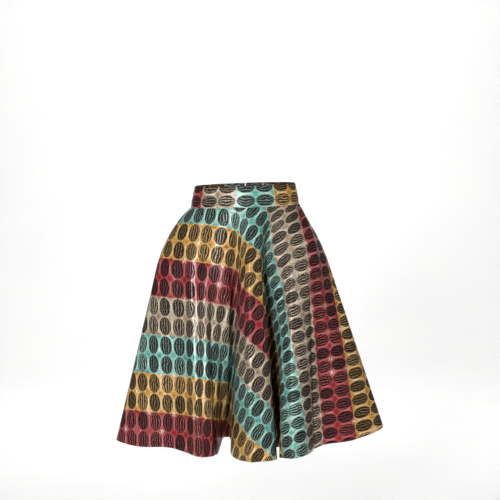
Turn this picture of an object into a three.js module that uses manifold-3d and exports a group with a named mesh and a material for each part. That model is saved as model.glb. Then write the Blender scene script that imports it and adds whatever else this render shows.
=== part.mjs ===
// A knee-length flared skirt, hollow and in the pose it has when worn.
// Millimetres, +Z up, the front faces -Y, and +X is to the right of someone looking at the front.
// The origin is the middle of the waistband: half way up it, on the axis of the waist.

import * as THREE from 'three';
import { mergeVertices } from 'three/addons/utils/BufferGeometryUtils.js';
import Module from 'manifold-3d';

const wasm = await Module();
wasm.setup();

// Waist
const waistHalfWidth = 129; // at the seam between band and panel
const waistHalfDepth = 95;
const bandTopHalfWidth = 119;
const bandTopHalfDepth = 87.5;
const bandHeight = 50;
const bandWall = 2.4; // two layers with a stiffener between them
const hipTilt = THREE.MathUtils.degToRad(2); // the right side sits a little higher

// Panel
const clothWall = 1.6;
const seamGap = 0.3;
const cutRadius = 180; // from the point of the cut sector to the waist seam
const hipPercent = 30; // how far down the cloth the hip columns of the fold table are
const levels = [0, 3, 8, 15, 22, hipPercent, 53, 76, 100]; // rows of the solid, in % of the cloth's length
const angleStep = 1.15; // widest step along the cut, in degrees
const fewestSteps = 4; // between two rows of the fold table
const foldSoftness = 1.6; // degrees over which a crest is rounded

// The folds, from the centre-back seam round the left side, the front, the right side and back.
// A row is a crest, a valley or the side of a fold. Cloth on the bias hangs a little longer.
const foldColumns = ['cutAngle', 'hipX', 'hipY', 'hemX', 'hemY', 'length'];
const foldRows = [
  [0, 38, 156, 50, 198, 598],
  [10, -18, 174, -22, 292, 598],
  [20, -72, 150, -84, 185, 595],
  [30, -120, 142, -176, 258, 598],
  [39.5, -156, 100, -192, 138, 595],
  [48, -190, 74, -286, 116, 598],
  [55.5, -203, 24, -238, 30, 600],
  [64.5, -212, -38, -313, -44, 597],
  [70, -185, -58, -255, -86, 588],
  [76, -148, -78, -178, -104, 572],
  [84, -104, -99, -99, -184, 579],
  [87.5, -86, -107, -76, -156, 577],
  [95, -46, -101, -62, -78, 582],
  [101, -22, -82, -56, -4, 578],
  [104.5, -15, -84, -37, 2, 578],
  [112, -10, -116, -32, -108, 588],
  [119, 14, -146, 22, -182, 592],
  [123.5, 41, -137, 72, -160, 592],
  [130, 42, -98, 67, -74, 595],
  [136.5, 43, -64, 71, 8, 612],
  [141.5, 51, -62, 86, 10, 612],
  [148, 70, -92, 90, -76, 607],
  [155.5, 101, -114, 85, -160, 603],
  [159, 118, -114, 117, -200, 604],
  [162.5, 137, -100, 149, -162, 599],
  [166.5, 154, -83, 165, -110, 598],
  [169, 163, -74, 184, -86, 597],
  [175, 185, -46, 258, -60, 600],
  [182.5, 203, -6, 342, 10, 603],
  [191, 190, 40, 252, 78, 600],
  [199.5, 166, 86, 260, 186, 600],
  [207.5, 132, 120, 160, 172, 598],
  [216.5, 88, 142, 126, 277, 598],
];

// Zip, closed, with its slider near the top of the band at the centre back
const bandSlit = 1.8; // between the two ends of the band
const bandSteps = 120;
const bandLevels = [0, 1 / 3, 2 / 3, 1];
const sliderHeight = 14; // above the middle of the band
const sliderBody = { width: 6.4, depth: 3, height: 10 }; // inside the band
const sliderNeck = { width: 1, height: 5 }; // through the slit
const bridge = { width: 1.8, depth: 3.4, height: 3.4 }; // outside, round the pull's bar
const barRadius = 0.6;
const barClearance = 0.3;
const pull = { width: 5.8, thickness: 1.2, length: 24, waist: 4.2, window: 3, windowDepth: 2.9 };
const roundSegments = 16;

const cloth = new THREE.MeshStandardMaterial({ color: 0xa8483f, roughness: 0.62, metalness: 0 });
const bandCloth = new THREE.MeshStandardMaterial({ color: 0x6faa9c, roughness: 0.62, metalness: 0 });
const zipMetal = new THREE.MeshStandardMaterial({ color: 0x4b4038, roughness: 0.4, metalness: 0.8 });

// Position on an ellipse by the share of its arc, from the back round the left, front and right.
function ellipseByArc(halfWidth, halfDepth) {
  const steps = 1440;
  const points = [];
  const arcs = [0];
  for (let i = 0; i <= steps; i++) {
    const turn = (i / steps) * 2 * Math.PI - Math.PI;
    points.push(new THREE.Vector2(halfWidth * Math.sin(turn), -halfDepth * Math.cos(turn)));
    if (i > 0) arcs.push(arcs[i - 1] + points[i].distanceTo(points[i - 1]));
  }
  const length = arcs[steps];
  const at = (share) => {
    const next = Math.max(1, arcs.findIndex((arc) => arc >= share * length - 1e-9));
    const between = (share * length - arcs[next - 1]) / (arcs[next] - arcs[next - 1]);
    return points[next - 1].clone().lerp(points[next], between);
  };
  return { length, at };
}

const waistRing = ellipseByArc(waistHalfWidth, waistHalfDepth);
const bandTopRing = ellipseByArc(bandTopHalfWidth, bandTopHalfDepth);
const wholeCut = THREE.MathUtils.radToDeg(waistRing.length / cutRadius);
const seamHeight = (x) => -bandHeight / 2 + x * Math.tan(hipTilt);

const folds = foldRows.map((row) => Object.fromEntries(foldColumns.map((name, i) => [name, row[i]])));

// A smooth closed curve through one column of the fold table: a cubic between each two rows,
// with the slope at a row taken from its neighbours, and then softened over a small angle.
function column(name) {
  const row = (k) => {
    const lap = Math.floor(k / folds.length);
    const fold = folds[k - lap * folds.length];
    return { angle: fold.cutAngle + lap * wholeCut, value: fold[name] };
  };
  const slope = (k) => {
    const [before, here, after] = [row(k - 1), row(k), row(k + 1)];
    const gapBefore = here.angle - before.angle;
    const gapAfter = after.angle - here.angle;
    const riseBefore = (here.value - before.value) / gapBefore;
    const riseAfter = (after.value - here.value) / gapAfter;
    return (gapAfter * riseBefore + gapBefore * riseAfter) / (gapBefore + gapAfter);
  };
  const through = (angle) => {
    let k = -1;
    while (row(k + 1).angle <= angle) k++;
    const [start, end] = [row(k), row(k + 1)];
    const gap = end.angle - start.angle;
    const u = (angle - start.angle) / gap;
    return (
      (2 * u ** 3 - 3 * u ** 2 + 1) * start.value +
      (u ** 3 - 2 * u ** 2 + u) * gap * slope(k) +
      (3 * u ** 2 - 2 * u ** 3) * end.value +
      (u ** 3 - u ** 2) * gap * slope(k + 1)
    );
  };
  return (angle) => (through(angle - foldSoftness) + 2 * through(angle) + through(angle + foldSoftness)) / 4;
}

const along = Object.fromEntries(foldColumns.slice(1).map((name) => [name, column(name)]));

// One thread of the cloth from waist to hem. In plan it is a curve from the waist to the hip point
// and then a straight run to the hem; it drops by whatever its length leaves over.
function thread(angle) {
  const waist = waistRing.at(angle / wholeCut);
  const hip = new THREE.Vector2(along.hipX(angle), along.hipY(angle));
  const hem = new THREE.Vector2(along.hemX(angle), along.hemY(angle));
  const run = hem.clone().sub(hip).multiplyScalar(hipPercent / (100 - hipPercent));
  const bend = hip.clone().addScaledVector(run, -0.5);
  const plan = (percent) => {
    if (percent > hipPercent) return hip.clone().lerp(hem, (percent - hipPercent) / (100 - hipPercent));
    const u = percent / hipPercent;
    const start = waist.clone().multiplyScalar((1 - u) ** 2);
    return start.addScaledVector(bend, 2 * u * (1 - u)).addScaledVector(hip, u * u);
  };
  const piece = along.length(angle) / 100;
  const points = [];
  let height = seamHeight(waist.x) - seamGap;
  for (let percent = 0; percent <= 100; percent++) {
    const here = plan(percent);
    if (percent > 0) height -= Math.sqrt(piece ** 2 - here.distanceToSquared(plan(percent - 1)));
    if (levels.includes(percent)) points.push(new THREE.Vector3(here.x, here.y, height));
  }
  return points;
}

// Angles of the solid's columns: each stretch between two rows of the table in equal steps.
function threadAngles() {
  const halfGap = THREE.MathUtils.radToDeg(seamGap / 2 / cutRadius);
  const rows = [...folds.map((fold) => fold.cutAngle), wholeCut - halfGap];
  rows[0] = halfGap;
  const angles = [rows[0]];
  for (let k = 1; k < rows.length; k++) {
    const steps = Math.max(fewestSteps, Math.ceil((rows[k] - rows[k - 1]) / angleStep));
    for (let i = 1; i <= steps; i++) angles.push(rows[k - 1] + ((rows[k] - rows[k - 1]) * i) / steps);
  }
  return angles;
}

// A wall of even thickness about a grid of points. Each strand runs from top to bottom, and the
// strands follow each other anticlockwise seen from above, so the wall's outside faces outwards.
function wall(strands, thickness) {
  const across = strands.length;
  const down = strands[0].length;
  const clampTo = (value, count) => Math.min(Math.max(value, 0), count - 1);
  const point = (i, j) => strands[clampTo(i, across)][clampTo(j, down)];
  const positions = [];
  for (const side of [0.5, -0.5]) {
    for (let i = 0; i < across; i++) {
      for (let j = 0; j < down; j++) {
        const round = point(i + 1, j).clone().sub(point(i - 1, j));
        const up = point(i, j - 1).clone().sub(point(i, j + 1));
        const out = round.cross(up);
        if (j === 0 || j === down - 1) out.z = 0; // top and bottom edges are cut level
        out.normalize().multiplyScalar(side * thickness).add(point(i, j));
        positions.push(out.x, out.y, out.z);
      }
    }
  }
  const outer = (i, j) => i * down + j;
  const inner = (i, j) => (across + i) * down + j;
  const faces = [];
  const quad = (a, b, c, d) => faces.push(a, b, c, a, c, d);
  for (let i = 0; i < across - 1; i++) {
    for (let j = 0; j < down - 1; j++) {
      quad(outer(i, j), outer(i, j + 1), outer(i + 1, j + 1), outer(i + 1, j));
      quad(inner(i, j), inner(i + 1, j), inner(i + 1, j + 1), inner(i, j + 1));
    }
    quad(outer(i, 0), outer(i + 1, 0), inner(i + 1, 0), inner(i, 0));
    const last = down - 1;
    quad(outer(i, last), inner(i, last), inner(i + 1, last), outer(i + 1, last));
  }
  for (let j = 0; j < down - 1; j++) {
    quad(outer(0, j), inner(0, j), inner(0, j + 1), outer(0, j + 1));
    const end = across - 1;
    quad(outer(end, j), outer(end, j + 1), inner(end, j + 1), inner(end, j));
  }
  const geometry = new THREE.BufferGeometry();
  geometry.setAttribute('position', new THREE.Float32BufferAttribute(positions, 3));
  geometry.setIndex(faces);
  return geometry;
}

function skirtPanel() {
  return wall(threadAngles().map(thread), clothWall);
}

// The band leans in from the seam to its top, and its two ends meet at the slit for the zip.
function waistband() {
  const halfSlit = bandSlit / 2 / waistRing.length;
  const strands = [];
  for (let i = 0; i <= bandSteps; i++) {
    const share = halfSlit + ((1 - 2 * halfSlit) * i) / bandSteps;
    const low = waistRing.at(share);
    const high = bandTopRing.at(share);
    const bottom = new THREE.Vector3(low.x, low.y, seamHeight(low.x));
    const top = new THREE.Vector3(high.x, high.y, seamHeight(high.x) + bandHeight);
    strands.push(bandLevels.map((level) => top.clone().lerp(bottom, level)));
  }
  return wall(strands, bandWall);
}

// Boolean helpers: a geometry becomes a solid with its shared corners merged, and back.
function toSolid(geometry) {
  const bare = geometry.clone();
  bare.deleteAttribute('normal');
  bare.deleteAttribute('uv');
  const merged = mergeVertices(bare, 1e-5);
  return new wasm.Manifold(
    new wasm.Mesh({
      numProp: 3,
      vertProperties: new Float32Array(merged.attributes.position.array),
      triVerts: new Uint32Array(merged.index.array),
    }),
  );
}

function toGeometry(solid) {
  const mesh = solid.getMesh();
  const geometry = new THREE.BufferGeometry();
  geometry.setAttribute('position', new THREE.BufferAttribute(mesh.vertProperties, 3));
  geometry.setIndex(new THREE.BufferAttribute(mesh.triVerts, 1));
  return geometry;
}

function block(width, depth, height, y, z) {
  return toSolid(new THREE.BoxGeometry(width, depth, height).translate(0, y, z));
}

function rodAlongX(radius, length, y) {
  const rod = new THREE.CylinderGeometry(radius, radius, length, roundSegments);
  return toSolid(rod.rotateZ(Math.PI / 2).translate(0, y, 0));
}

// In the zip's own frame y points out of the band and z up along it, from the middle of its wall.
const face = bandWall / 2 + seamGap;
const barDistance = face + bridge.depth / 2;

// The slider lies inside the band, and its neck comes through the slit to the bridge outside.
function zipSlider() {
  const inside = block(sliderBody.width, sliderBody.depth, sliderBody.height, -face - sliderBody.depth / 2, 0);
  const overlap = 0.4;
  const neck = block(sliderNeck.width, 2 * (face + overlap), sliderNeck.height, 0, 0);
  const outside = block(bridge.width, bridge.depth, bridge.height, barDistance, 0);
  const hole = rodAlongX(barRadius + barClearance, bridge.width * 2, barDistance);
  return toGeometry(inside.add(neck).add(outside).subtract(hole));
}

// The pull tab: a drop-shaped plate whose bar turns in the bridge, with a window that clears it.
function zipPull() {
  const half = pull.width / 2;
  const tip = pull.length - half;
  const outline = new THREE.Shape();
  outline.moveTo(-half, 0);
  outline.lineTo(-half, -pull.windowDepth);
  outline.quadraticCurveTo(-pull.waist / 2, -pull.length / 2, -half, -tip);
  outline.absarc(0, -tip, half, Math.PI, 2 * Math.PI, false);
  outline.quadraticCurveTo(pull.waist / 2, -pull.length / 2, half, -pull.windowDepth);
  outline.lineTo(half, 0);
  outline.closePath();
  const plate = new THREE.ExtrudeGeometry(outline, {
    depth: pull.thickness,
    bevelEnabled: false,
    curveSegments: roundSegments / 2,
  });
  plate.rotateX(Math.PI / 2).translate(0, barDistance + pull.thickness / 2, 0);
  const windowHeight = pull.windowDepth * 2;
  const window = block(pull.window, pull.thickness * 2, windowHeight, barDistance, 0);
  const bar = rodAlongX(barRadius, pull.width, barDistance);
  return toGeometry(toSolid(plate).subtract(window).add(bar));
}

function piece(name, geometry, material) {
  const mesh = new THREE.Mesh(geometry, material);
  mesh.name = name;
  return mesh;
}

const zip = new THREE.Group();
const bandLean = Math.atan((waistHalfDepth - bandTopHalfDepth) / bandHeight);
const heightShare = (sliderHeight + bandHeight / 2) / bandHeight;
zip.position.set(0, THREE.MathUtils.lerp(waistHalfDepth, bandTopHalfDepth, heightShare), sliderHeight);
zip.rotation.x = bandLean;
zip.add(piece('zip_slider', zipSlider(), zipMetal), piece('zip_pull', zipPull(), zipMetal));

const skirt = new THREE.Group();
skirt.add(piece('skirt_panel', skirtPanel(), cloth), piece('waistband', waistband(), bandCloth), zip);

export default skirt;
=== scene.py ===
import math

import bpy
import numpy as np
from bpy.props import FloatProperty, FloatVectorProperty, IntProperty, PointerProperty
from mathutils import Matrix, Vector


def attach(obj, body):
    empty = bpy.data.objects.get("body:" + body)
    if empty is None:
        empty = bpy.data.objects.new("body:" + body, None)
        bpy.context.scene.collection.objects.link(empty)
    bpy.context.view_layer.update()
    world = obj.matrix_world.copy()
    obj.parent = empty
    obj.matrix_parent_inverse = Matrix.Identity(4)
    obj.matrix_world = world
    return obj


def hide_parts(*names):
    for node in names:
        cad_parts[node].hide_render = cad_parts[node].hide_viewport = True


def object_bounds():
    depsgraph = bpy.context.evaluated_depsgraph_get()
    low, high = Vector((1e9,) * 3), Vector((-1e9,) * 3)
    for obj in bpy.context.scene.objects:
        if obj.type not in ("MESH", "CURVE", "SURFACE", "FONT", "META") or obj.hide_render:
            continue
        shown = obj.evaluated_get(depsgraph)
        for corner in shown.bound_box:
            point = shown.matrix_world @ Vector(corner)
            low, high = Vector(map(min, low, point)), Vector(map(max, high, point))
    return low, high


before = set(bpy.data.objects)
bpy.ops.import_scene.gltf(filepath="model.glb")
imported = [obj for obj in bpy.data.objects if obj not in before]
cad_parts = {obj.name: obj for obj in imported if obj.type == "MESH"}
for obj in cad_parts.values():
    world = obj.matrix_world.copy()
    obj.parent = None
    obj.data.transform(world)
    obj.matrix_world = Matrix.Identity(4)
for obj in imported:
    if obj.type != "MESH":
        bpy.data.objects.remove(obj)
CAD_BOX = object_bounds()

bl_info = {
    "name": "Flared skirt",
    "version": (1, 0, 0),
    "blender": (4, 5, 0),
    "location": "3D View > Sidebar > Skirt",
    "description": "A knee-length flared skirt in striped jacquard, dressed over its solids",
    "category": "Object",
}

MM = 0.001
FLAT = "flat_cloth"  # UV map with the place on the flat cloth: across the stripes, along them

# Waist and cut, in millimetres and degrees, as the solids have them
WAIST_HALF_WIDTH = 129.0
WAIST_HALF_DEPTH = 95.0
BAND_TOP_HALF_WIDTH = 119.0
BAND_TOP_HALF_DEPTH = 87.5
BAND_HEIGHT = 50.0
HIP_TILT = math.radians(2.0)  # the waist seam rises to the right by this
CUT_RADIUS = 180.0  # of the ring sector that the panel is cut as, at the waist seam
HIP_SHARE = 0.3  # of the cloth's length, from the waist seam to the hip
FOLD_SOFTNESS = 1.6  # the folds are averaged over this cut angle on both sides
SEAM_GAP = 0.3  # between the panel and the band, and between the panel's ends
SEAM_DIP = 1.4  # how far the panel's ends turn in at the centre back
SEAM_REACH = 4.0  # how far from the seam that turn starts
THREAD_STEPS = 400  # steps down the panel's cloth from the waist seam to the hem

# Where the stripes lie on the flat cloth
STRIPE_TURN = 82.0  # cut angle of the thread that runs straight across the stripes
STRIPE_START = 218.0  # from the point of the cut sector to an edge between teal and mustard
BAND_STRIPE_START = 70.0  # the same edge on the waistband, right of the centre front
BAND_ROW_START = -0.5  # the lower row of ovals on the waistband starts here above the seam
WEFT_STEP = 1.1  # from one thread of the cloth to the next, across the stripes
WARP_STEP = 0.9  # the same along them

# The folds, as the solids have them: cut angle, x and y at the hip, x and y at the hem, and length
# along the cloth. Cloth on the bias hangs a little longer.
FOLDS = np.array([
    (0, 38, 156, 50, 198, 598),
    (10, -18, 174, -22, 292, 598),
    (20, -72, 150, -84, 185, 595),
    (30, -120, 142, -176, 258, 598),
    (39.5, -156, 100, -192, 138, 595),
    (48, -190, 74, -286, 116, 598),
    (55.5, -203, 24, -238, 30, 600),
    (64.5, -212, -38, -313, -44, 597),
    (70, -185, -58, -255, -86, 588),
    (76, -148, -78, -178, -104, 572),
    (84, -104, -99, -99, -184, 579),
    (87.5, -86, -107, -76, -156, 577),
    (95, -46, -101, -62, -78, 582),
    (101, -22, -82, -56, -4, 578),
    (104.5, -15, -84, -37, 2, 578),
    (112, -10, -116, -32, -108, 588),
    (119, 14, -146, 22, -182, 592),
    (123.5, 41, -137, 72, -160, 592),
    (130, 42, -98, 67, -74, 595),
    (136.5, 43, -64, 71, 8, 612),
    (141.5, 51, -62, 86, 10, 612),
    (148, 70, -92, 90, -76, 607),
    (155.5, 101, -114, 85, -160, 603),
    (159, 118, -114, 117, -200, 604),
    (162.5, 137, -100, 149, -162, 599),
    (166.5, 154, -83, 165, -110, 598),
    (169, 163, -74, 184, -86, 597),
    (175, 185, -46, 258, -60, 600),
    (182.5, 203, -6, 342, 10, 603),
    (191, 190, 40, 252, 78, 600),
    (199.5, 166, 86, 260, 186, 600),
    (207.5, 132, 120, 160, 172, 598),
    (216.5, 88, 142, 126, 277, 598),
])

# Small creases on the folds: cut angle at the top and bottom end, share of the cloth's length where
# each starts and stops, half width and rise in millimetres. A rise below zero is a trough.
CREASE_FADE = 0.14  # share of the length over which a crease fades in and out
CREASES = np.array([
    (66, 68, 0.02, 0.34, 16, -4.0),
    (70, 73, 0.16, 0.92, 15, 3.6),
    (75.5, 80.6, 0.14, 1.12, 14, -4.0),
    (78.4, 84.2, 0.12, 1.12, 13, 4.6),
    (81.4, 86.2, 0.24, 1.12, 8, -4.8),
    (85.0, 88.2, 0.34, 1.12, 6, 3.2),
    (88.6, 90.6, 0.24, 1.04, 11, -10.0),
    (95.2, 98.0, 0.20, 1.04, 14, 11.5),
    (108, 109.5, 0.30, 1.12, 9, -3.0),
    (118.4, 118.4, 0.12, 1.12, 11, 8.0),
    (125.5, 123.6, 0.06, 0.60, 8, -3.0),
    (150.5, 154.0, 0.04, 0.66, 9, -3.4),
    (156.8, 158.2, 0.16, 1.12, 8, 3.6),
    (166.6, 166.2, 0.28, 1.12, 6.5, -5.0),
    (171, 172.6, 0.08, 0.70, 12, 3.2),
    (179, 176.5, 0.26, 1.12, 17, -4.2),
    (6, 5, 0.06, 0.62, 13, -3.6),
    (17, 15, 0.22, 1.12, 15, 4.4),
    (25, 26.5, 0.30, 1.12, 10, -3.8),
    (34, 33, 0.05, 0.44, 10, 3.2),
    (50, 50, 0.30, 1.12, 16, -4.6),
    (59, 60, 0.20, 0.86, 12, 3.8),
    (188, 187, 0.34, 1.12, 13, 4.4),
    (196, 195, 0.10, 0.76, 14, -4.0),
    (203.5, 204, 0.30, 1.12, 10, 3.6),
    (211, 212, 0.02, 0.52, 12, -3.4),
    (221, 220, 0.34, 1.12, 14, 4.0),
])

# Lights: name, place, the point that it faces and side, in metres, and power in watts
LIGHTS = (
    ("key", (-0.7, -3.2, 0.5), (0, 0, -0.3), 0.5, 104),
    ("fill", (2.9, -1.3, 0.5), (0, 0, -0.3), 1.2, 9),
    ("top", (0.2, 0.4, 2.6), (0, 0, -0.3), 2.0, 14),
    ("backdrop", (0, 1.5, 2.4), (0, 5, 0.2), 2.5, 160),
)
DAYLIGHT = 0.10  # strength of the even light from all round
CAMERA_ASIDE = 0.012  # right of the skirt's middle
CAMERA_HEIGHT = 0.155  # above the middle of the waistband
CAMERA_FALL = 0.096  # the line of sight falls by this share of its run
FILM_WIDTH = 36.0  # in millimetres


def dye(name, description, red, green, blue):
    """A colour of the cloth that a user can change."""
    return FloatVectorProperty(name=name, description=description, subtype="COLOR", size=4,
                               min=0, max=1, default=(red, green, blue, 1))


class SkirtClothSettings(bpy.types.PropertyGroup):
    """The striped jacquard and its ovals."""

    stripe_width: FloatProperty(
        name="Stripe width", description="Width of one colour stripe",
        default=0.090, min=0.02, unit="LENGTH")
    oval_pitch: FloatProperty(
        name="Oval pitch", description="From one oval to the next along a stripe",
        default=0.032, min=0.01, unit="LENGTH")
    oval_length: FloatProperty(
        name="Oval length", description="Length of an oval, across its stripe",
        default=0.0425, min=0.01, unit="LENGTH")
    oval_breadth: FloatProperty(
        name="Oval breadth", description="Breadth of an oval, along its stripe",
        default=0.0276, min=0.01, unit="LENGTH")
    mustard: dye("Mustard", "Colour of the mustard stripe", 0.49, 0.245, 0.027)
    crimson: dye("Crimson", "Colour of the crimson stripe", 0.27, 0.005, 0.014)
    taupe: dye("Taupe", "Colour of the taupe stripe", 0.31, 0.22, 0.14)
    teal: dye("Teal", "Colour of the teal stripe", 0.075, 0.34, 0.28)
    oval_dark: dye("Oval", "Dark colour of the ovals", 0.0095, 0.0065, 0.0065)
    # The thread colours also tint the painted sheen and sparkle on the ground between the ovals
    mustard_thread: dye("Mustard thread", "Light thread on the mustard stripe", 0.80, 0.57, 0.28)
    crimson_thread: dye("Crimson thread", "Light thread on the crimson stripe", 0.52, 0.16, 0.15)
    taupe_thread: dye("Taupe thread", "Light thread on the taupe stripe", 0.70, 0.60, 0.46)
    teal_thread: dye("Teal thread", "Light thread on the teal stripe", 0.56, 0.72, 0.63)
    # Cream colour of the painted glints where four ovals meet
    painted_glint: dye("Cream", "Bright knots of thread where four ovals meet", 0.92, 0.86, 0.72)


class SkirtPanelSettings(bpy.types.PropertyGroup):
    """The skirt panel."""

    thickness: FloatProperty(
        name="Cloth thickness", description="Thickness of one layer of cloth",
        default=0.0009, min=0.0003, unit="LENGTH")
    hem_turn: FloatProperty(
        name="Hem turn-up", description="Height of the cloth turned in at the hem",
        default=0.022, min=0.005, unit="LENGTH")
    pucker: FloatProperty(
        name="Seam pucker", description="Height of the small waves under the waist seam",
        default=0.0007, min=0, unit="LENGTH")
    columns: IntProperty(
        name="Columns", description="Columns of faces round the panel", default=460, min=60)


class SkirtBandSettings(bpy.types.PropertyGroup):
    """The waistband."""

    thickness: FloatProperty(
        name="Band thickness", description="Two layers of cloth with a stiffener between them",
        default=0.0024, min=0.001, unit="LENGTH")
    crown: FloatProperty(
        name="Crown", description="How far the middle of the band stands proud of its edges",
        default=0.0007, min=0, unit="LENGTH")
    slit: FloatProperty(
        name="Slit", description="Gap between the band's ends at the centre back",
        default=0.0018, min=0.0003, unit="LENGTH")
    columns: IntProperty(
        name="Columns", description="Columns of faces round the band", default=300, min=60)


class SkirtZipSettings(bpy.types.PropertyGroup):
    """The concealed zip."""

    tape_width: FloatProperty(
        name="Tape width", description="Width of the tape on one side of the teeth",
        default=0.013, min=0.005, unit="LENGTH")
    below_seam: FloatProperty(
        name="Below the seam", description="How far the zip runs down below the waist seam",
        default=0.175, min=0.05, unit="LENGTH")
    tooth_pitch: FloatProperty(
        name="Tooth pitch", description="From one tooth to the next on one side",
        default=0.0021, min=0.001, unit="LENGTH")


class SkirtStitchSettings(bpy.types.PropertyGroup):
    """The seam at the centre back, the hand-sewn hem and the machine stitching on the inside."""

    allowance: FloatProperty(
        name="Seam allowance", description="Width of the cloth pressed back on each side of the seam",
        default=0.014, min=0.005, unit="LENGTH")
    thread_radius: FloatProperty(
        name="Thread radius", description="Half the thickness of the sewing thread",
        default=0.00022, min=0.0001, unit="LENGTH")
    length: FloatProperty(
        name="Stitch length", description="Length of a machine stitch",
        default=0.0031, min=0.001, unit="LENGTH")
    step: FloatProperty(
        name="Stitch step", description="From the start of one machine stitch to the next",
        default=0.0042, min=0.001, unit="LENGTH")
    hem_step: FloatProperty(
        name="Hem step", description="From one hem stitch to the next",
        default=0.009, min=0.003, unit="LENGTH")


class SkirtStageSettings(bpy.types.PropertyGroup):
    """Floor, lights and camera."""

    floor_drop: FloatProperty(
        name="Floor drop", description="From the hem to the floor, as on a standing wearer",
        default=0.45, min=0, unit="LENGTH")
    camera_distance: FloatProperty(
        name="Camera distance", description="From the axis of the waist to the camera",
        default=3.0, min=0.5, unit="LENGTH")
    lens: FloatProperty(
        name="Lens", description="Focal length in millimetres", default=90.0, min=20)


class Wire:
    """A material's node tree with one output socket. Operators on it add Math nodes."""

    def __init__(self, tree, socket=None):
        self.tree = tree
        self.socket = socket

    def node(self, kind, settings, inputs, output=0):
        """Adds a node, sets its settings, then links or sets its sockets."""
        node = self.tree.nodes.new(kind)
        for name, value in settings.items():
            if name == "stops":
                ramp = node.color_ramp
                while len(ramp.elements) < len(value):
                    ramp.elements.new(1)
                for element, (place, colour) in zip(ramp.elements, value):
                    element.position = place
                    element.color = colour
            elif name == "ramp_interpolation":
                node.color_ramp.interpolation = value
            else:
                setattr(node, name, value)
        for key, value in inputs.items():
            if isinstance(value, Wire):
                self.tree.links.new(value.socket, node.inputs[key])
            else:
                node.inputs[key].default_value = value
        return Wire(self.tree, node.outputs[output])

    def math(self, operation, *others):
        """A Math node on this value and the others."""
        terms = dict(enumerate((self, *others)))
        return self.node("ShaderNodeMath", {"operation": operation}, terms)

    def __add__(self, other):
        return self.math("ADD", other)

    def __mul__(self, other):
        return self.math("MULTIPLY", other)

    def __sub__(self, other):
        return self.math("SUBTRACT", other)

    def __truediv__(self, other):
        return self.math("DIVIDE", other)

    def __pow__(self, other):
        return self.math("POWER", other)

    def __rsub__(self, other):
        return self.node("ShaderNodeMath", {"operation": "SUBTRACT"}, {0: other, 1: self})

    def __rtruediv__(self, other):
        return self.node("ShaderNodeMath", {"operation": "DIVIDE"}, {0: other, 1: self})

    def __abs__(self):
        return self.math("ABSOLUTE")

    __radd__ = __add__
    __rmul__ = __mul__

    def smooth(self, low, high):
        """0 below low and 1 above high, and eased between them. High may be the smaller."""
        settings = {"interpolation_type": "SMOOTHSTEP"}
        return self.node("ShaderNodeMapRange", settings, {0: self, 1: low, 2: high, 3: 0, 4: 1})

    def blend(self, low, high):
        """The colour low where this is 0, and high where it is 1."""
        return self.mixed(self, low, high)

    def mixed(self, factor, low, high):
        """A mix of two colours by a number or a worked-out value."""
        return self.node("ShaderNodeMix", {"data_type": "RGBA"}, {0: factor, 6: low, 7: high}, 2)

    def part(self, axis):
        """One number of a vector."""
        return self.node("ShaderNodeSeparateXYZ", {}, {0: self}, axis)


def new_material(name, **fixed):
    """A Principled material, its wire to build on, its shader node and its set values."""
    material = bpy.data.materials.new(name)
    material.use_nodes = True
    shader = material.node_tree.nodes["Principled BSDF"]
    for socket, value in fixed.items():
        shader.inputs[socket.replace("_", " ")].default_value = value
    return material, Wire(material.node_tree), shader


def feed(wire, shader, **links):
    """Links worked-out values to the shader's sockets."""
    for socket, value in links.items():
        wire.tree.links.new(value.socket, shader.inputs[socket.replace("_", " ")])


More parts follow.
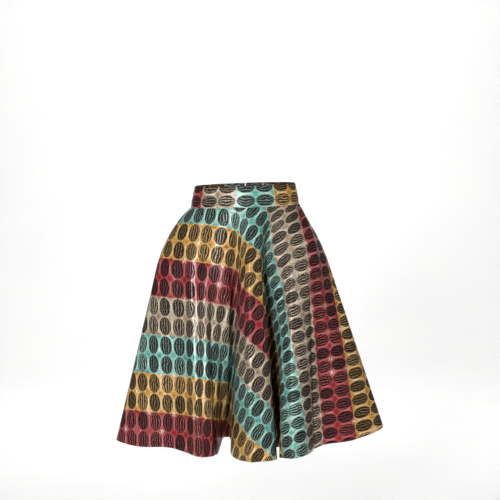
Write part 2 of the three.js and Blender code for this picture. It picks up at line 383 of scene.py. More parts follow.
def jacquard(name, cloth, reverse=0.0):
    """Striped jacquard with two rows of dark ovals to a stripe, read from the flat cloth.

    The stripe is the fraction of across / four stripes. A row is half a stripe and a column one
    pitch of the ovals, and a and b run from -1 to 1 over an oval, which is |a|^1.9 + |b|^2.2 < 1
    with a ragged edge. Its light threads are arcs from tip to tip, sin(14 b / sqrt(1.1 - a^2)).
    Reverse, from 0 to 1, dulls it to the wrong side of the cloth.
    """
    material, wire, shader = new_material(
        name, Specular_IOR_Level=0.09 - 0.03 * reverse, Coat_Roughness=0.31)
    place = wire.node("ShaderNodeUVMap", {"uv_map": FLAT}, {})
    across = place.part(0) - STRIPE_START * MM
    along = place.part(1)
    stripe = (across / (4 * cloth.stripe_width)).math("FRACT")

    def noise(scale, detail):
        """Noise round zero, with about this many grains to a metre."""
        settings = {"noise_dimensions": "2D"}
        return wire.node("ShaderNodeTexNoise", settings, {0: place, 2: scale, 3: detail}) - 0.5

    def chance_of(row, column):
        """A number from 0 to 1 for each cell of whole rows and columns."""
        whole = {0: row.math("FLOOR"), 1: column.math("FLOOR")}
        cell = wire.node("ShaderNodeCombineXYZ", {}, whole)
        return wire.node("ShaderNodeTexWhiteNoise", {"noise_dimensions": "2D"}, {0: cell})

    def striped(*colours):
        """One colour for each of the four stripes."""
        stops = [(i / 4, tuple(colour)) for i, colour in enumerate(colours)]
        settings = {"ramp_interpolation": "CONSTANT", "stops": stops}
        return wire.node("ShaderNodeValToRGB", settings, {0: stripe})

    ground = striped(cloth.mustard, cloth.crimson, cloth.taupe, cloth.teal)
    light = striped(
        cloth.mustard_thread, cloth.crimson_thread, cloth.taupe_thread, cloth.teal_thread)

    # The cells of the ovals, a little uneven
    row = across / (cloth.stripe_width / 2) + noise(18, 1) * 0.05
    column = along / cloth.oval_pitch + noise(22, 1) * 0.06
    chance = chance_of(row, column)
    a = (row.math("FRACT") - 0.5) * (cloth.stripe_width / cloth.oval_length)
    b = (column.math("FRACT") - 0.5) * (2 * cloth.oval_pitch / cloth.oval_breadth)

    # The oval, the rim round it and the gap to the next one in its row
    reach = abs(a) ** 1.9 + abs(b) ** 2.2 + noise(420, 2) * 0.42
    oval = reach.smooth(1.12, 0.90)
    rim = reach.smooth(1.60, 1.26) * (1 - oval)
    gap = abs(b).smooth(1.0, 1.07) * abs(a).smooth(0.95, 0.60) * (1 - oval)

    # Light threads in the oval, waved and broken, and lighter in some ovals than in others
    arc = b / ((1.10 - a * a).math("MAXIMUM", 0.10)).math("SQRT")
    swirl = noise(70, 2) * 8 + chance * 6.28
    thread = ((arc * 14 + swirl).math("SINE") + noise(300, 2) * 1.3).smooth(0.35, 1.05)
    lightness = chance ** 2 * 0.62 + 0.22
    fleck = noise(160, 3).smooth(0.05, 0.25)
    dark = (chance * 0.05 + 0.02).blend(tuple(cloth.oval_dark), ground)
    light_thread = wire.mixed(0.25, light, ground)
    inside = (thread * lightness + fleck * 0.05).math("MINIMUM", 1).blend(dark, light_thread)

    # Painted glints where four ovals meet, in a cream colour
    spark = chance_of(row + 0.5, column + 0.5)
    glint_spot = abs(a).smooth(0.60, 1.02) * abs(b).smooth(0.66, 1.05) * noise(240, 2).smooth(-0.20, 0.12)
    sparkle = spark.smooth(0.60, 0.96) * glint_spot

    # The ground between the ovals: light lines in the gaps, partly thread and partly painted sheen,
    # light rims of thread, painted sheen in glint patches, painted sparkle in the specks, and stray
    # dark threads through it
    glint = noise(36, 2).smooth(0.04, 0.26)
    glint_speck = noise(330, 2).smooth(0.06, 0.24)
    between = gap * (glint * 0.4 + 0.4) + rim * (glint * 0.5 + 0.28) + glint * 0.06 + glint_speck * 0.2
    stray = noise(150, 3).smooth(-0.02, 0.2) * 0.66
    plain = stray.blend(ground, tuple(cloth.oval_dark))
    threaded = between.math("MINIMUM", 1).blend(plain, light)
    # Painted glints laid over the ground
    field = (sparkle * 0.8).blend(threaded, tuple(cloth.painted_glint))
    colour = oval.blend(field, inside)
    if reverse:
        wrong_side = (0.16, 0.12, 0.09, 1)
        colour = wire.mixed(0.45 * reverse, colour, wrong_side)

    # Relief of the threads and the weave, and gloss on the light threads
    weft = (across * (2 * math.pi / (WEFT_STEP * MM))).math("SINE")
    warp = (along * (2 * math.pi / (WARP_STEP * MM))).math("SINE")
    height = oval * 0.35 + thread * oval * 0.4 + weft * warp * 0.12 + noise(500, 2) * 0.25
    bump = wire.node(
        "ShaderNodeBump", {}, {"Strength": 0.55, "Distance": 0.0006, "Height": height})
    roughness = oval * 0.12 + 0.46 + 0.2 * reverse
    gloss = ((1 - oval) * 0.72 + oval * thread * 0.45 + 0.02) * (1 - reverse)
    feed(wire, shader, Base_Color=colour, Roughness=roughness, Coat_Weight=gloss, Normal=bump)
    return material


def plain_cloth(name, colour, rib, roughness):
    """Woven tape: fine ribs along and across it, in Object coordinates, with a little uneven dye."""
    material, wire, shader = new_material(name, Sheen_Weight=0.2)
    place = wire.node("ShaderNodeTexCoord", {}, {}, 3)
    x, z = place.part(0), place.part(2)
    turn = 2 * math.pi / rib
    ribs = (z * turn).math("SINE") * 0.5 + (x * turn).math("SINE") * 0.5
    uneven = wire.node("ShaderNodeTexNoise", {}, {0: place, 2: 60, 3: 3})
    light = tuple(min(1, 1.9 * c) for c in colour[:3]) + (1,)
    lighter = (ribs * 0.25 + uneven * 0.5).math("MINIMUM", 1).math("MAXIMUM", 0)
    shade = lighter.blend(colour, light)
    bump = wire.node("ShaderNodeBump", {}, {"Strength": 0.5, "Distance": 0.0002, "Height": ribs})
    feed(wire, shader, Base_Color=shade, Roughness=uneven * 0.1 + roughness, Normal=bump)
    return material


def enamel(name, colour, bare):
    """Satin enamel on zip metal, with small bare patches where it has rubbed."""
    material, wire, shader = new_material(name, Coat_Roughness=0.25)
    place = wire.node("ShaderNodeTexCoord", {}, {}, 3)
    patch = wire.node("ShaderNodeTexNoise", {}, {0: place, 2: 900, 3: 4}).smooth(0.60, 0.70)
    grain = wire.node("ShaderNodeTexNoise", {}, {0: place, 2: 4000, 3: 2})
    shade = patch.blend(colour, bare)
    bump = wire.node("ShaderNodeBump", {}, {"Strength": 0.3, "Distance": 0.0001, "Height": grain})
    feed(wire, shader, Base_Color=shade, Roughness=0.42 - patch * 0.12 + grain * 0.08,
         Metallic=patch * 0.8, Normal=bump)
    return material


def ellipse_by_arc(half_width, half_depth, share):
    """Points of an ellipse by the share of its arc, from the back round by the left side.

    The arc is summed over short chords, and the turn for each share is read off that sum.
    """
    turn = np.linspace(-np.pi, np.pi, 1441)
    chords = np.hypot(np.diff(half_width * np.sin(turn)), np.diff(half_depth * np.cos(turn)))
    arc = np.concatenate([[0], np.cumsum(chords)])
    at = np.interp(np.mod(share, 1) * arc[-1], arc, turn)
    return np.stack([half_width * np.sin(at), -half_depth * np.cos(at)], -1), arc[-1]


WAIST_LENGTH = ellipse_by_arc(WAIST_HALF_WIDTH, WAIST_HALF_DEPTH, np.zeros(1))[1]
WHOLE_CUT = math.degrees(WAIST_LENGTH / CUT_RADIUS)
PANEL_LENGTH = FOLDS[:, 5].mean()


def waist_seam(share):
    """Points of the waist seam in plan, by the share of it from the back round by the left."""
    return ellipse_by_arc(WAIST_HALF_WIDTH, WAIST_HALF_DEPTH, share)[0]


def band_top(share):
    """Points of the band's top edge in plan, by the same share."""
    return ellipse_by_arc(BAND_TOP_HALF_WIDTH, BAND_TOP_HALF_DEPTH, share)[0]


def seam_height(x):
    """Height of the waist seam, which rises to the right with the hip."""
    return -BAND_HEIGHT / 2 + x * math.tan(HIP_TILT)


def fold_values(angle):
    """The fold table at any cut angle: cubics between its rows, softened over a small angle.

    A cubic has the rows' values, and slopes taken from the neighbours on both sides.
    """
    rows, lap = FOLDS, WHOLE_CUT
    place = np.concatenate([rows[-3:, 0] - lap, rows[:, 0], rows[:3, 0] + lap])
    value = np.concatenate([rows[-3:, 1:], rows[:, 1:], rows[:3, 1:]])
    gap = np.diff(place)[:, None]
    rise = np.diff(value, axis=0) / gap
    slope = np.zeros_like(value)
    slope[1:-1] = (gap[1:] * rise[:-1] + gap[:-1] * rise[1:]) / (gap[:-1] + gap[1:])

    def through(at):
        """The cubics at these angles."""
        at = np.mod(at, lap)
        k = np.clip(np.searchsorted(place, at, side="right") - 1, 1, len(place) - 3)
        u = ((at - place[k]) / gap[k, 0])[:, None]
        return ((2 * u ** 3 - 3 * u ** 2 + 1) * value[k]
                + (u ** 3 - 2 * u ** 2 + u) * gap[k] * slope[k]
                + (3 * u ** 2 - 2 * u ** 3) * value[k + 1]
                + (u ** 3 - u ** 2) * gap[k] * slope[k + 1])

    sides = through(angle - FOLD_SOFTNESS) + through(angle + FOLD_SOFTNESS)
    return (sides + 2 * through(angle)) / 4


def threads(angle, steps=THREAD_STEPS):
    """The cloth's middle surface: a row for each step down it, a column for each cut angle.

    In plan a thread is (1 - u)^2 waist + 2 u (1 - u) bend + u^2 hip, then a straight run to the
    hem. Its height falls by sqrt(piece^2 - plan^2), so that every thread keeps its own length.
    """
    fold = fold_values(angle)
    hip, hem, length = fold[:, 0:2], fold[:, 2:4], fold[:, 4]
    waist = waist_seam(angle / WHOLE_CUT)
    bend = hip - (hem - hip) * HIP_SHARE / (1 - HIP_SHARE) / 2
    share = np.linspace(0, 1, steps + 1)[:, None, None]
    u = np.minimum(share / HIP_SHARE, 1)
    w = np.maximum((share - HIP_SHARE) / (1 - HIP_SHARE), 0)
    plan = (1 - u) ** 2 * waist + 2 * u * (1 - u) * bend + u ** 2 * hip + w * (hem - hip)
    fall = np.sqrt((length / steps) ** 2 - (np.diff(plan, axis=0) ** 2).sum(-1))
    top = seam_height(waist[:, 0]) - SEAM_GAP
    height = top - np.concatenate([np.zeros((1, len(angle))), np.cumsum(fall, axis=0)])
    return np.concatenate([plan, height[..., None]], -1), length


def outward(points):
    """Unit normals of a grid whose rows run down and whose columns run anticlockwise from above."""
    normal = np.cross(np.gradient(points, axis=1), -np.gradient(points, axis=0))
    return normal / np.linalg.norm(normal, axis=-1, keepdims=True)


def ease(value, low, high):
    """0 below low and 1 above high, by 3 u^2 - 2 u^3 between them."""
    u = np.clip((value - low) / (high - low), 0, 1)
    return u * u * (3 - 2 * u)


def crease_rise(angle, share, radius):
    """Sum of the small creases: rise * exp(-(distance / half width)^2), faded in at both ends."""
    total = np.zeros((len(share), len(angle)))
    for top, low, start, stop, half_width, rise in CREASES:
        line = top + (low - top) * (share - start) / (stop - start)
        for lap in (-WHOLE_CUT, 0, WHOLE_CUT):
            distance = np.radians(angle[None] + lap - line[:, None]) * radius
            fade = ease(share, start, start + CREASE_FADE)
            fade *= 1 - ease(share, stop - CREASE_FADE, stop)
            total += rise * fade[:, None] * np.exp(-((distance / half_width) ** 2))
    return total


def column_angles(count, end):
    """Cut angles of the shell's columns, closer together where the hem turns tightly.

    Columns are wished for by the hem's length / 9 mm plus its turn * 3.2, and are spread evenly
    over the running sum of that wish.
    """
    fine = np.linspace(end, WHOLE_CUT - end, 6001)
    hem = threads(fine, 20)[0][-1, :, :2]
    step = np.diff(hem, axis=0)
    turn = np.abs(np.diff(np.unwrap(np.arctan2(step[:, 1], step[:, 0]))))
    wish = np.hypot(step[1:, 0], step[1:, 1]) / 9 + turn * 3.2
    reach = np.concatenate([[0, 0], np.cumsum(wish)])
    never_level = reach + np.arange(len(fine)) * 1e-9
    return np.interp(np.linspace(0, reach[-1], count + 1), never_level, fine)


def flat_place(angle, radius):
    """Where a point lies on the flat cloth, in metres: across the stripes, and along them."""
    turn = np.radians(angle - STRIPE_TURN)
    return np.stack([radius * np.cos(turn), radius * np.sin(turn)], -1) * MM


def closed_wall(outer, inner, top, bottom):
    """Points and quads of a closed wall between two grids, with rounded top and bottom edges.

    A column's loop is the outer points down, the bottom edge, the inner points up and the top
    edge. The first and last columns are closed with quads from the outer to the inner points and
    a triangle at both edges. The marks are true on the faces of the inner side.
    """
    down, across = outer.shape[:2]
    loop = np.concatenate([outer, bottom[None], inner[::-1], top[None]])
    count = len(loop)
    index = np.arange(count * across).reshape(count, across)
    below = np.roll(index, -1, axis=0)
    quads = np.stack([index[:, :-1], below[:, :-1], below[:, 1:], index[:, 1:]], -1).reshape(-1, 4)
    faces = []
    for column, turn in ((0, 1), (across - 1, -1)):
        out_side = index[:down, column]
        in_side = index[2 * down:down:-1, column]
        strip = np.stack([out_side[:-1], in_side[:-1], in_side[1:], out_side[1:]], -1)
        corners = np.array([(index[-1, column], in_side[0], out_side[0]),
                            (index[down, column], out_side[-1], in_side[-1])])
        faces += [face[::turn] for face in strip.tolist() + corners.tolist()]
    side = np.arange(count)[:, None] * np.ones((1, across - 1), int)
    inside = ((side > down) & (side < 2 * down)).reshape(-1)
    marks = np.concatenate([inside, np.zeros(len(faces), bool)])
    return loop.reshape(-1, 3), quads.tolist() + faces, marks


def flat_wall(place):
    """The flat places of a closed wall's points, in its order: both sides have the same."""
    return np.concatenate([place, place[-1:], place[::-1], place[:1]]).reshape(-1, 2)


def new_piece(name, points, faces, materials, marks=None, flat=None):
    """A mesh object from points in millimetres, with its materials and its flat-cloth UV map."""
    mesh = bpy.data.meshes.new(name)
    mesh.from_pydata((points * MM).tolist(), [], faces)
    for material in materials:
        mesh.materials.append(material)
    if marks is not None:
        mesh.polygons.foreach_set("material_index", marks.astype(np.int32))
    if flat is not None:
        corner = np.empty(len(mesh.loops), np.int32)
        mesh.loops.foreach_get("vertex_index", corner)
        mesh.uv_layers.new(name=FLAT).data.foreach_set("uv", flat[corner].reshape(-1))
    mesh.polygons.foreach_set("use_smooth", np.ones(len(mesh.polygons), bool))
    mesh.update()
    piece = bpy.data.objects.new(name, mesh)
    bpy.context.scene.collection.objects.link(piece)
    return piece


def panel_grid(angle, steps):
    """Middle surface of the panel with its small creases, its normals, radii and shares."""
    points, length = threads(angle)
    share = np.linspace(0, 1, len(points))[steps]
    radius = CUT_RADIUS + share[:, None] * length[None]
    normal = outward(points)[steps]
    points = points[steps] + normal * crease_rise(angle, share, radius)[..., None]
    return points, normal, radius, share


def inside_back(across, down, inset):
    """Points inside the centre back: across from the seam, down from the band's top, and in.

    Across has a row for each value of down, and all are millimetres. The band runs straight between
    its two ellipses. Below it a point is read off the panel's threads, at the angle across / radius
    and the share down / length, by linear steps both ways.
    """
    row = down[:, None]
    low, high = waist_seam(across / WAIST_LENGTH), band_top(across / WAIST_LENGTH)
    drop = np.minimum(row / BAND_HEIGHT, 1)[..., None]
    plan = high + (low - high) * drop
    height = seam_height(plan[..., :1]) + BAND_HEIGHT * (1 - drop)
    band = np.concatenate([plan, height], -1)
    reach = np.maximum(row - BAND_HEIGHT, 0)
    fan = np.linspace(-6, 6, 49)
    grid, length = threads(fan)
    column = (np.degrees(across / (CUT_RADIUS + reach)) - fan[0]) / (fan[1] - fan[0])
    step = reach / length.mean() * THREAD_STEPS * np.ones_like(column)
    i, j = step.astype(int), column.astype(int)
    u, w = (step - i)[..., None], (column - j)[..., None]
    upper = grid[i, j] * (1 - w) + grid[i, j + 1] * w
    lower = grid[i + 1, j] * (1 - w) + grid[i + 1, j + 1] * w
    points = np.where(reach[..., None] > 0, upper * (1 - u) + lower * u, band)
    return points - outward(points) * inset, outward(points)


def bowed_threads(name, start, end, out, radius, lift, material):
    """Many short threads as one mesh: each bows out from its start to its end.

    A thread's middle line is start + (end - start) t + out * lift * 4 t (1 - t), and its radius
    shrinks to its ends by (1 - |2 t - 1|^4)^(1/2).
    """
    t = np.linspace(0, 1, 7)[None, :, None, None]
    turn = np.linspace(0, 2 * np.pi, 6, endpoint=False)[None, None, :, None]
    start, end, out = (part[:, None, None, :] for part in (start, end, out))
    side = np.cross(end - start, out)
    side /= np.linalg.norm(side, axis=-1, keepdims=True)
    middle = start + (end - start) * t + out * lift * 4 * t * (1 - t)
    thick = radius * np.sqrt(np.maximum(1 - np.abs(2 * t - 1) ** 4, 0.06))
    points = middle + thick * (np.cos(turn) * side + np.sin(turn) * out)
    count, stations, sides = points.shape[:3]
    index = np.arange(count * stations * sides).reshape(count, stations, sides)
    around = np.roll(index, -1, axis=2)
    quads = np.stack([index[:, :-1], index[:, 1:], around[:, 1:], around[:, :-1]], -1)
    caps = np.concatenate([index[:, 0], index[:, -1, ::-1]])
    faces = quads.reshape(-1, 4).tolist() + caps.tolist()
    piece = new_piece(name, points.reshape(-1, 3), faces, [material])
    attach(piece, "skirt")
    return piece


class SKIRT_OT_zip(bpy.types.Operator):
    """Set in the concealed zip: two tapes, the closed coil, the bottom stop and its stitching."""

    bl_idname = "skirt.zip"
    bl_label = "Zip"

    tape_inset = 2.5  # from the middle of the cloth in to the middle of the tape
    tape_half = 0.25  # half the tape's thickness
    tape_seam = 2.6  # the tape's stitches run this far in from its outer edge
    coil_inset = 3.4  # from the middle of the cloth in to the coil
    coil_radius = 0.57
    slider_down = 11.0  # middle of the slider, from the band's top
    slider_half = 6.4
    slider_room = 3.8  # the tapes' edges stay this far off the middle beside the slider
    closed_room = 0.35  # and this far off it along the closed coil

    def execute(self, context):
        scene = context.scene
        look = scene.skirt_zip
        end = BAND_HEIGHT + look.below_seam / MM
        width = look.tape_width / MM
        woven = plain_cloth("zip_tape", (0.020, 0.019, 0.018, 1), 0.0008, 0.72)
        metal = enamel("zip_enamel", (0.020, 0.018, 0.016, 1), (0.42, 0.38, 0.33, 1))
        scene["skirt_thread"] = plain_cloth("sewing_thread", (0.10, 0.08, 0.06, 1), 0.0004, 0.6)
        for node in ("zip_slider", "zip_pull"):
            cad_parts[node].material_slots[0].material = metal
        down = np.linspace(1.5, end + 9, 90)  # from just under the band's top to below the stop
        from_slider = np.abs(down - self.slider_down)
        near_slider = 1 - ease(from_slider, self.slider_half, self.slider_half + 4)
        start = self.closed_room + (self.slider_room - self.closed_room) * near_slider
        for side, label in ((1, "left"), (-1, "right")):
            reach = start[:, None] + (width - start[:, None]) * np.linspace(0, 1, 9)
            across = reach if side > 0 else -reach[:, ::-1]
            middle, normal = inside_back(across, down, self.tape_inset)
            outer = middle + normal * self.tape_half
            inner = middle - normal * self.tape_half
            xyz, faces = closed_wall(outer, inner, middle[0], middle[-1])[:2]
            tape = new_piece("zip_tape_" + label, xyz, faces, [woven])
            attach(tape, "skirt")
            self.stitch_tape(scene, label, side * (width - self.tape_seam), end)
        pitch = look.tooth_pitch / MM
        below_slider = self.slider_down + self.slider_half + 0.5
        for side, label in ((1, "left"), (-1, "right")):
            rows = np.arange(below_slider + pitch / 2 * (side > 0), end - 3, pitch)
            tape_end = self.inner_points(side * 3.1, rows, self.coil_inset - 0.5)[0]
            hooked_end, out = self.inner_points(side * -1.1, rows, self.coil_inset)
            bowed_threads("zip_coil_" + label, tape_end, hooked_end, -out, self.coil_radius, 0.5,
                          metal)
        stop = end - 1.2 + np.arange(2)  # its own row, and one that gives the slope there
        left, out = self.inner_points(3.4, stop, self.coil_inset)
        right = self.inner_points(-3.4, stop, self.coil_inset)[0]
        bowed_threads("zip_stop", left[:1], right[:1], -out[:1], 1.1, 0.3, metal)
        return {"FINISHED"}

    @staticmethod
    def inner_points(across, down, inset):
        """Points at one place across for two or more values of down, and the normals there."""
        spread = across + np.array([-1.0, 0.0, 1.0]) * np.ones((len(down), 1))
        points, normal = inside_back(spread, down, inset)
        return points[:, 1], normal[:, 1]

    def stitch_tape(self, scene, label, across, end):
        """A row of machine stitches that holds a tape to the cloth."""
        look = scene.skirt_stitches
        starts = np.arange(2.5, end, look.step / MM)
        inset = self.tape_inset + self.tape_half + 0.05
        first, out = self.inner_points(across, starts, inset)
        last = self.inner_points(across, starts + look.length / MM, inset)[0]
        radius = look.thread_radius / MM
        bowed_threads("tape_stitches_" + label, first, last, -out, radius, 0.15,
                      scene["skirt_thread"])


class SKIRT_OT_stitching(bpy.types.Operator):
    """Press the seam open below the zip, and sew the hem by hand and the band by machine."""

    bl_idname = "skirt.stitching"
    bl_label = "Stitching"

    def execute(self, context):
        scene = context.scene
        look = scene.skirt_stitches
        radius = look.thread_radius / MM
        cloth = scene.skirt_panel.thickness / MM
        turn_up = scene.skirt_panel.hem_turn / MM
        hem_radius = CUT_RADIUS + PANEL_LENGTH
        self.press_seam(scene, BAND_HEIGHT + PANEL_LENGTH - turn_up - 2)
        count = int(math.radians(WHOLE_CUT) * hem_radius / (look.hem_step / MM))
        angle = (np.arange(count) + 0.5) * WHOLE_CUT / count
        lean = math.degrees(2.4 / hem_radius)
        above_hem = np.array([turn_up - 2.2, turn_up + 2.4])  # both ends of a hem stitch
        rows = np.round(THREAD_STEPS * (1 - above_hem / PANEL_LENGTH)).astype(int)
        low, low_out = (part[0] for part in panel_grid(angle - lean, rows[:1])[:2])
        high, high_out = (part[0] for part in panel_grid(angle + lean, rows[1:])[:2])
        low = low - low_out * (1.5 * cloth + radius * 0.5)
        high = high - high_out * (0.5 * cloth + radius * 0.5)
        bowed_threads("hem_stitches", low, high, -low_out, radius, 0.5, scene["skirt_thread"])
        step = look.step / MM
        bare = 15.0  # no stitches this near the centre back
        count = int((WAIST_LENGTH - 2 * bare) / step)
        begin = (bare + np.arange(count) * step) / WAIST_LENGTH
        finish = begin + look.length / MM / WAIST_LENGTH
        first, out = self.on_band(begin)
        last = self.on_band(finish)[0]
        bowed_threads("band_stitches", first, last, -out, radius, 0.15, scene["skirt_thread"])
        return {"FINISHED"}

    @staticmethod
    def press_seam(scene, end):
        """The two seam allowances as one strip: it follows the panel's ends, which dip inwards."""
        half = scene.skirt_panel.thickness / MM / 2
        width = scene.skirt_stitches.allowance / MM
        down = np.linspace(BAND_HEIGHT + scene.skirt_zip.below_seam / MM + 10, end, 110)
        across = width * np.linspace(-1, 1, 29) * np.ones((len(down), 1))
        dip = SEAM_DIP * (1 - ease(np.abs(across), 0, SEAM_REACH))
        middle, normal = inside_back(across, down, 0)
        middle = middle - normal * (dip + 2 * half + 0.15)[..., None]
        outer = middle + normal * half * 0.8
        inner = middle - normal * half * 0.8
        xyz, faces = closed_wall(outer, inner, middle[0], middle[-1])[:2]
        radius = CUT_RADIUS + down[:, None] - BAND_HEIGHT
        place = flat_place(np.degrees(across / radius), radius)
        strip = new_piece(
            "seam_allowance", xyz, faces, [scene["skirt_cloth_face"]], None, flat_wall(place))
        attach(strip, "skirt")

    @staticmethod
    def on_band(share):
        """Points on the band's inner face, a little above the seam, and the normals there."""
        low, high = waist_seam(share), band_top(share)
        level = np.array([5.0, 3.0])[:, None, None] / BAND_HEIGHT
        plan = low + (high - low) * level
        points = np.concatenate([plan, seam_height(plan[..., :1]) + BAND_HEIGHT * level], -1)
        out = outward(points)
        return points[1] - out[1] * 1.25, out[1]


class SKIRT_OT_panel(bpy.types.Operator):
    """Sew the skirt panel: a thin shell on the solid's form, with its hem turned in."""

    bl_idname = "skirt.panel"
    bl_label = "Skirt panel"

    def execute(self, context):
        scene = context.scene
        look = scene.skirt_panel
        end = math.degrees(SEAM_GAP / 2 / (CUT_RADIUS + PANEL_LENGTH))
        angle = column_angles(look.columns, end)
        near_hem = THREAD_STEPS - 20
        steps = np.r_[0:near_hem:4, near_hem:THREAD_STEPS + 1:2]
        points, normal, radius, share = panel_grid(angle, steps)
        round_cloth = radius * np.radians(angle)
        wave = (np.sin(round_cloth / 2.6) + np.sin(round_cloth / 4.3 + 1)) / 2
        under_seam = ease(share, 0, 0.006) * (1 - ease(share, 0, 0.06))
        pucker = look.pucker / MM * wave * under_seam[:, None]
        points = points + normal * pucker[..., None]
        from_end = np.minimum(angle - end, WHOLE_CUT - end - angle)
        roll = -SEAM_DIP * (1 - ease(np.radians(from_end) * radius, 0, SEAM_REACH))
        points = points + normal * roll[..., None]
        half = look.thickness / MM / 2
        above_hem = (1 - share) * 600  # in millimetres, near enough for every thread
        turned = 1 - ease(above_hem, look.hem_turn / MM - 0.8, look.hem_turn / MM + 0.8)
        outer = points + normal * half
        inner = points - normal * (half + look.thickness / MM * turned[:, None, None])
        up = np.array([0, 0, 1.0])
        top = (outer[0] + inner[0]) / 2 + up * half * 0.6
        bottom = (outer[-1] + inner[-1]) / 2 - up * half * 1.6
        xyz, faces, marks = closed_wall(outer, inner, top, bottom)
        flat = flat_wall(flat_place(angle[None], radius))
        cloth = (scene["skirt_cloth_face"], scene["skirt_cloth_reverse"])
        panel = new_piece("skirt_panel_cloth", xyz, faces, cloth, marks, flat)
        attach(panel, "skirt")
        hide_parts("skirt_panel")
        return {"FINISHED"}


class SKIRT_OT_waistband(bpy.types.Operator):
    """Sew the waistband: doubled cloth, folded over at the top, its ends meeting at the back."""

    bl_idname = "skirt.waistband"
    bl_label = "Waistband"

    def execute(self, context):
        scene = context.scene
        look = scene.skirt_band
        half_slit = look.slit / MM / 2 / WAIST_LENGTH
        share = np.linspace(half_slit, 1 - half_slit, look.columns + 1)
        even = np.linspace(0, 1, 15)[:, None, None]
        level = even - np.sin(2 * np.pi * even) / (4 * np.pi)  # closer together at the edges
        low, high = waist_seam(share), band_top(share)
        low = np.concatenate([low, seam_height(low[:, :1])], -1)
        high = np.concatenate([high, seam_height(high[:, :1]) + BAND_HEIGHT], -1)
        points = high + (low - high) * level
        normal = outward(points)
        half = look.thickness / MM / 2
        edge = np.minimum(level, 1 - level) * BAND_HEIGHT
        thin = 0.62 + 0.38 * ease(edge, 0, 2.2)
        crown = look.crown / MM * ease(edge, 0, 14)
        outer = points + normal * (half * thin + crown)
        inner = points - normal * half * thin
        up = np.array([0, 0, 1.0])
        top = (outer[0] + inner[0]) / 2 + up * half * 0.5
        bottom = (outer[-1] + inner[-1]) / 2 - up * half * 0.05
        xyz, faces = closed_wall(outer, inner, top, bottom)[:2]
        mean_length = WAIST_LENGTH * 0.965  # round the band, about half way up it
        run = (share - 0.5) * mean_length - BAND_STRIPE_START
        across = np.broadcast_to(STRIPE_START + run, points.shape[:2])
        along = (1 - level[..., 0]) * BAND_HEIGHT - BAND_ROW_START
        along = np.broadcast_to(along, points.shape[:2])
        flat = flat_wall(np.stack([across, along], -1) * MM)
        band = new_piece("waistband_cloth", xyz, faces, [scene["skirt_cloth_face"]], None, flat)
        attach(band, "skirt")
        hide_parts("waistband")
        return {"FINISHED"}


class SKIRT_OT_cloth(bpy.types.Operator):
    """Weave the two sides of the striped jacquard."""

    bl_idname = "skirt.cloth"
    bl_label = "Striped cloth"

    def execute(self, context):
        scene = context.scene
        scene["skirt_cloth_face"] = jacquard("striped_cloth", scene.skirt_cloth)
        scene["skirt_cloth_reverse"] = jacquard("striped_cloth_reverse", scene.skirt_cloth, 1.0)
        return {"FINISHED"}


class SKIRT_OT_stage(bpy.types.Operator):
    """Set out the pale floor, the soft lights and the camera."""

    bl_idname = "skirt.stage"
    bl_label = "Stage"

    def execute(self, context):
        look = context.scene.skirt_stage
        floor_height = CAD_BOX[0][2] - look.floor_drop
        profile = floor_profile(back=3.2, radius=2.0, height=4.5)
        side = np.linspace(-7, 7, 15)
        points = np.empty((len(profile), len(side), 3))
        points[..., 0] = side[None]
        points[..., 1] = profile[:, 0, None]
        points[..., 2] = profile[:, 1, None] + floor_height
        rows, columns = points.shape[:2]
        index = np.arange(rows * columns).reshape(rows, columns)
        quads = np.stack([index[:-1, :-1], index[:-1, 1:], index[1:, 1:], index[1:, :-1]], -1)
        material, wire, shader = new_material("floor_paper", Specular_IOR_Level=0.2)
        place = wire.node("ShaderNodeTexCoord", {}, {}, 3)
        tone = wire.node("ShaderNodeTexNoise", {}, {0: place, 2: 3, 3: 2})
        feed(wire, shader, Base_Color=tone.blend((0.86, 0.86, 0.86, 1), (0.90, 0.90, 0.89, 1)),
             Roughness=tone * 0.1 + 0.7)
        faces = quads.reshape(-1, 4).tolist()
        floor = new_piece("floor", points.reshape(-1, 3) / MM, faces, [material])
        for light in LIGHTS:
            add_light(*light)
        world = bpy.data.worlds.new("studio")
        world.use_nodes = True
        background = world.node_tree.nodes["Background"]
        background.inputs["Color"].default_value = (1, 1, 1, 1)
        background.inputs["Strength"].default_value = DAYLIGHT
        context.scene.world = world
        context.scene.view_settings.view_transform = "Standard"
        camera = bpy.data.cameras.new("camera")
        camera.lens = look.lens
        camera.sensor_width = FILM_WIDTH
        holder = bpy.data.objects.new("camera", camera)
        holder.location = (CAMERA_ASIDE, -look.camera_distance, CAMERA_HEIGHT)
        holder.rotation_euler = (math.pi / 2 - math.atan(CAMERA_FALL), 0, 0)
        context.scene.collection.objects.link(holder)
        context.scene.camera = holder
        return {"FINISHED"}


def floor_profile(back, radius, height):
    """Side view of the floor: flat to the back, a quarter circle up, and a straight wall."""
    turn = np.linspace(0, np.pi / 2, 25)
    curve = np.stack([back + radius * np.sin(turn), radius * (1 - np.cos(turn))], -1)
    return np.concatenate([[(-6.0, 0.0)], curve, [(back + radius, radius + height)]])


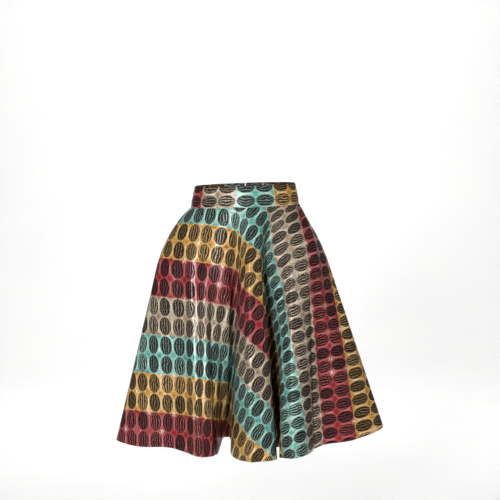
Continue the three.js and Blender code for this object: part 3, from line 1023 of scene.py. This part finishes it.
def add_light(name, place, aim, size, power):
    """A square soft light that faces its aim."""
    light = bpy.data.lights.new(name, "AREA")
    light.shape = "SQUARE"
    light.size = size
    light.energy = power
    holder = bpy.data.objects.new(name, light)
    holder.location = place
    towards = np.array(aim) - np.array(place)
    turn = math.atan2(towards[1], towards[0]) - math.pi / 2
    tilt = math.atan2(towards[2], math.hypot(towards[0], towards[1]))
    holder.rotation_euler = (math.pi / 2 + tilt, 0, turn)
    bpy.context.scene.collection.objects.link(holder)


class SKIRT_PT_sidebar(bpy.types.Panel):
    """Sizes and colours of the skirt, with a button for each of its pieces."""

    bl_idname = "SKIRT_PT_sidebar"
    bl_label = "Flared skirt"
    bl_space_type = "VIEW_3D"
    bl_region_type = "UI"
    bl_category = "Skirt"

    def draw(self, context):
        for operator in OPERATORS:
            self.layout.operator(operator.bl_idname)
        for name in SETTINGS:
            group = getattr(context.scene, name)
            box = self.layout.box()
            for field in group.bl_rna.properties:
                if field.identifier not in ("name", "rna_type"):
                    box.prop(group, field.identifier)


SETTINGS = {
    "skirt_cloth": SkirtClothSettings,
    "skirt_panel": SkirtPanelSettings,
    "skirt_band": SkirtBandSettings,
    "skirt_zip": SkirtZipSettings,
    "skirt_stitches": SkirtStitchSettings,
    "skirt_stage": SkirtStageSettings,
}
OPERATORS = (SKIRT_OT_cloth, SKIRT_OT_zip, SKIRT_OT_stitching, SKIRT_OT_waistband, SKIRT_OT_panel,
             SKIRT_OT_stage)


def register():
    for kind in (*SETTINGS.values(), *OPERATORS, SKIRT_PT_sidebar):
        bpy.utils.register_class(kind)
    for name, kind in SETTINGS.items():
        setattr(bpy.types.Scene, name, PointerProperty(type=kind))


def unregister():
    for name in SETTINGS:
        delattr(bpy.types.Scene, name)
    for kind in (SKIRT_PT_sidebar, *reversed(OPERATORS), *reversed(SETTINGS.values())):
        bpy.utils.unregister_class(kind)


def main():
    register()
    bpy.ops.skirt.cloth()
    bpy.ops.skirt.zip()
    bpy.ops.skirt.stitching()
    bpy.ops.skirt.waistband()
    bpy.ops.skirt.panel()
    bpy.ops.skirt.stage()


if __name__ == "__main__":
    main()
